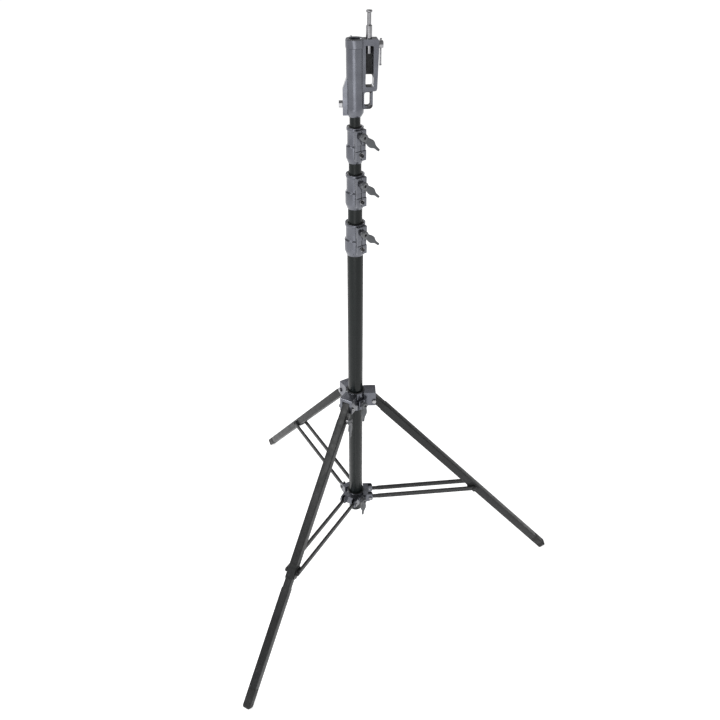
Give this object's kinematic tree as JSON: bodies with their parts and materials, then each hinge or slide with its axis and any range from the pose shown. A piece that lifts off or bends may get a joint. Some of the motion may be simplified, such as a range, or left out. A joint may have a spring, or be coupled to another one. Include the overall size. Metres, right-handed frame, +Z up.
{
  "type": "combo lighting stand",
  "caption": "Steel combo lighting stand with a folding square-tube tripod, a levelling leg, telescoping risers, wing-lever collars and a receiver and pin head.",
  "frame": {"origin": "bottom centre of the bounding box at rest, on the floor; the column stands to -X of it", "axes": "+Z up along the column, +X along the right leg"},
  "size_m": [1.1706, 1.3512, 2.026],
  "materials": {
    "black_plastic": "black plastic",
    "black_rubber": "black rubber",
    "blue_grey_cast_paint": "blue-grey cast paint",
    "gloss_black_paint": "gloss black paint",
    "polished_plating": "polished plating",
    "satin_dark_paint": "satin dark paint",
    "satin_grey_paint": "satin grey paint",
    "zinc_plated_steel": "zinc plated steel"
  },
  "bodies": {
    "base": {"lower_hub": "blue_grey_cast_paint", "lower_hub_bushing": "black_plastic", "strut_pin_right_a": "zinc_plated_steel", "strut_pin_right_b": "zinc_plated_steel", "strut_pin_back_a": "zinc_plated_steel", "strut_pin_back_b": "zinc_plated_steel", "strut_pin_front_a": "zinc_plated_steel", "strut_pin_front_b": "zinc_plated_steel"},
    "column": {"base_tube": "gloss_black_paint", "base_end_cap": "black_plastic", "collar_1": "blue_grey_cast_paint", "collar_1_fixing_bolt": "zinc_plated_steel"},
    "riser_1": {"riser_1_tube": "gloss_black_paint", "collar_2": "blue_grey_cast_paint", "collar_2_fixing_bolt": "zinc_plated_steel"},
    "riser_2": {"riser_2_tube": "gloss_black_paint", "collar_3": "blue_grey_cast_paint", "collar_3_fixing_bolt": "zinc_plated_steel"},
    "riser_3": {"riser_3_tube": "gloss_black_paint", "head_casting": "blue_grey_cast_paint", "head_fixing_bolt": "zinc_plated_steel"},
    "spigot": {"spigot_pin": "polished_plating"},
    "spigot_lock": {"spigot_lock_screw": "zinc_plated_steel"},
    "spigot_bar": {"spigot_lock_bar": "zinc_plated_steel"},
    "receiver_lock": {"receiver_lock_screw": "zinc_plated_steel"},
    "receiver_bar": {"receiver_lock_bar": "zinc_plated_steel"},
    "upper_hub": {"upper_hub": "blue_grey_cast_paint", "upper_hub_bushing": "black_plastic", "leg_bolt_right": "zinc_plated_steel", "leg_bolt_back": "zinc_plated_steel", "leg_bolt_front": "zinc_plated_steel"},
    "upper_hub_lock": {"upper_hub_stud": "zinc_plated_steel", "upper_hub_lever": "satin_grey_paint"},
    "lower_hub_lock": {"lower_hub_stud": "zinc_plated_steel", "lower_hub_lever": "satin_grey_paint"},
    "leg_right": {"leg_right_tube": "satin_dark_paint", "foot_right": "black_rubber", "strut_bracket_right": "satin_dark_paint"},
    "leg_back": {"leg_back_tube": "satin_dark_paint", "foot_back": "black_rubber", "strut_bracket_back": "satin_dark_paint"},
    "leg_front": {"leg_front_sleeve": "satin_dark_paint", "strut_bracket_front": "satin_dark_paint"},
    "leveling_leg": {"leg_front_tube": "satin_dark_paint", "foot_front": "black_rubber"},
    "leveling_lock": {"leveling_stud": "zinc_plated_steel", "leveling_lever": "satin_grey_paint"},
    "collar_1_lock": {"collar_1_stud": "zinc_plated_steel", "collar_1_lever": "satin_grey_paint"},
    "collar_2_lock": {"collar_2_stud": "zinc_plated_steel", "collar_2_lever": "satin_grey_paint"},
    "collar_3_lock": {"collar_3_stud": "zinc_plated_steel", "collar_3_lever": "satin_grey_paint"},
    "struts_right": {"strut_right_a": "satin_dark_paint", "strut_right_b": "satin_dark_paint"},
    "struts_back": {"strut_back_a": "satin_dark_paint", "strut_back_b": "satin_dark_paint"},
    "struts_front": {"strut_front_a": "satin_dark_paint", "strut_front_b": "satin_dark_paint"}
  },
  "joints": [
    {"name": "column_slide", "type": "slide", "parent": "base", "child": "column", "axis": [0, 0, 1], "range_m": [-0.2, 0]},
    {"name": "riser_1_slide", "type": "slide", "parent": "column", "child": "riser_1", "axis": [0, 0, 1], "range_m": [0, 0.83]},
    {"name": "riser_2_slide", "type": "slide", "parent": "riser_1", "child": "riser_2", "axis": [0, 0, 1], "range_m": [0, 0.83]},
    {"name": "riser_3_slide", "type": "slide", "parent": "riser_2", "child": "riser_3", "axis": [0, 0, 1], "range_m": [0, 0.83]},
    {"name": "collar_1_lock_turn", "type": "hinge", "parent": "column", "child": "collar_1_lock", "pos_m": [-0.16753, -0.03145, 1.43], "axis": [0.5446, -0.8387, 0], "range_deg": [0, 90]},
    {"name": "collar_2_lock_turn", "type": "hinge", "parent": "riser_1", "child": "collar_2_lock", "pos_m": [-0.16927, -0.02877, 1.579], "axis": [0.5446, -0.8387, 0], "range_deg": [0, 90]},
    {"name": "collar_3_lock_turn", "type": "hinge", "parent": "riser_2", "child": "collar_3_lock", "pos_m": [-0.17107, -0.026, 1.715], "axis": [0.5446, -0.8387, 0], "range_deg": [0, 90]},
    {"name": "spigot_slide", "type": "slide", "parent": "riser_3", "child": "spigot", "axis": [0, 0, 1], "range_m": [-0.06, 0]},
    {"name": "spigot_lock_turn", "type": "hinge", "parent": "riser_3", "child": "spigot_lock", "pos_m": [-0.12729, 0.00638, 1.944], "axis": [0.9945, 0.1045, 0], "range_deg": [0, 90]},
    {"name": "spigot_bar_slide", "type": "slide", "parent": "spigot_lock", "child": "spigot_bar", "axis": [0, 0, 1], "range_m": [0, 0.036]},
    {"name": "receiver_lock_turn", "type": "hinge", "parent": "riser_3", "child": "receiver_lock", "pos_m": [-0.1956, 0.03313, 1.938], "axis": [-0.225, 0.9744, 0], "range_deg": [0, 90]},
    {"name": "receiver_bar_slide", "type": "slide", "parent": "receiver_lock", "child": "receiver_bar", "axis": [0, 0, 1], "range_m": [-0.004, 0.03]},
    {"name": "hub_slide", "type": "slide", "parent": "base", "child": "upper_hub", "axis": [0, 0, 1], "range_m": [0, 0.5114]},
    {"name": "leg_right_fold", "type": "hinge", "parent": "upper_hub", "child": "leg_right", "pos_m": [-0.12465, 0, 0.792], "axis": [0, 1, 0], "range_deg": [0, 41.78]},
    {"name": "strut_right_fold", "type": "hinge", "parent": "base", "child": "struts_right", "pos_m": [-0.13315, 0, 0.3286], "axis": [0, -1, 0], "range_deg": [0, 84.33]},
    {"name": "leg_back_fold", "type": "hinge", "parent": "upper_hub", "child": "leg_back", "pos_m": [-0.2196, 0.05482, 0.792], "axis": [-0.866, -0.5, 0], "range_deg": [0, 41.78]},
    {"name": "strut_back_fold", "type": "hinge", "parent": "base", "child": "struts_back", "pos_m": [-0.21535, 0.04746, 0.3286], "axis": [0.866, 0.5, 0], "range_deg": [0, 84.33]},
    {"name": "leg_front_fold", "type": "hinge", "parent": "upper_hub", "child": "leg_front", "pos_m": [-0.2196, -0.05482, 0.792], "axis": [0.866, -0.5, 0], "range_deg": [0, 41.78]},
    {"name": "strut_front_fold", "type": "hinge", "parent": "base", "child": "struts_front", "pos_m": [-0.21535, -0.04746, 0.3286], "axis": [-0.866, 0.5, 0], "range_deg": [0, 84.33]},
    {"name": "leveling_slide", "type": "slide", "parent": "leg_front", "child": "leveling_leg", "axis": [-0.3328, -0.5764, -0.7463], "range_m": [0, 0.027]},
    {"name": "upper_hub_lock_turn", "type": "hinge", "parent": "upper_hub", "child": "upper_hub_lock", "pos_m": [-0.16508, -0.03522, 0.792], "axis": [0.5446, -0.8387, 0], "range_deg": [0, 45]},
    {"name": "lower_hub_lock_turn", "type": "hinge", "parent": "base", "child": "lower_hub_lock", "pos_m": [-0.16508, -0.03522, 0.328], "axis": [0.5446, -0.8387, 0], "range_deg": [0, 40]},
    {"name": "leveling_lock_turn", "type": "hinge", "parent": "leg_front", "child": "leveling_lock", "pos_m": [-0.2186, -0.08768, 0.76066], "axis": [0.866, -0.5, 0], "range_deg": [-75, 0]}
  ],
  "couplings": [
    {"joint": "leg_right_fold", "follows": "hub_slide", "rad_per_m": 1.424},
    {"joint": "strut_right_fold", "follows": "hub_slide", "rad_per_m": 2.8762},
    {"joint": "leg_back_fold", "follows": "hub_slide", "rad_per_m": 1.424},
    {"joint": "strut_back_fold", "follows": "hub_slide", "rad_per_m": 2.8762},
    {"joint": "leg_front_fold", "follows": "hub_slide", "rad_per_m": 1.424},
    {"joint": "strut_front_fold", "follows": "hub_slide", "rad_per_m": 2.8762}
  ]
}
